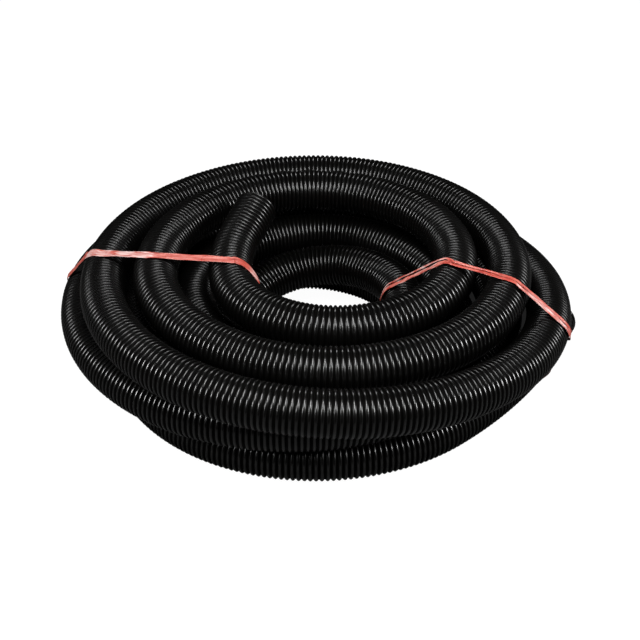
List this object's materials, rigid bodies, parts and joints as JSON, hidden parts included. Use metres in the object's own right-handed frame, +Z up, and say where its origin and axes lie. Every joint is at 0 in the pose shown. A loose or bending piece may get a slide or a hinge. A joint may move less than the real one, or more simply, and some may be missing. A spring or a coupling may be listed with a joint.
{
  "type": "pool vacuum hose",
  "caption": "Long corrugated suction hose wound into a three-layer coil round an open eye, both ends cut square, held by two strips of plastic film.",
  "frame": {"origin": "on the floor under the middle of the coil's box", "axes": "+Z up along the coil's axis; -Y is the side the coil is seen from; the hose winds counter-clockwise from its top end"},
  "size_m": [0.5814, 0.5497, 0.1609],
  "materials": {
    "hose": "moulded gloss, ribbed",
    "tie_film": "creased shiny film"
  },
  "bodies": {
    "root": {"hose_coil": "hose", "hose_end_top": "hose", "hose_end_bottom": "hose", "left_tie": "tie_film", "left_tie_knot": "tie_film", "right_tie": "tie_film", "right_tie_knot": "tie_film"}
  },
  "joints": []
}
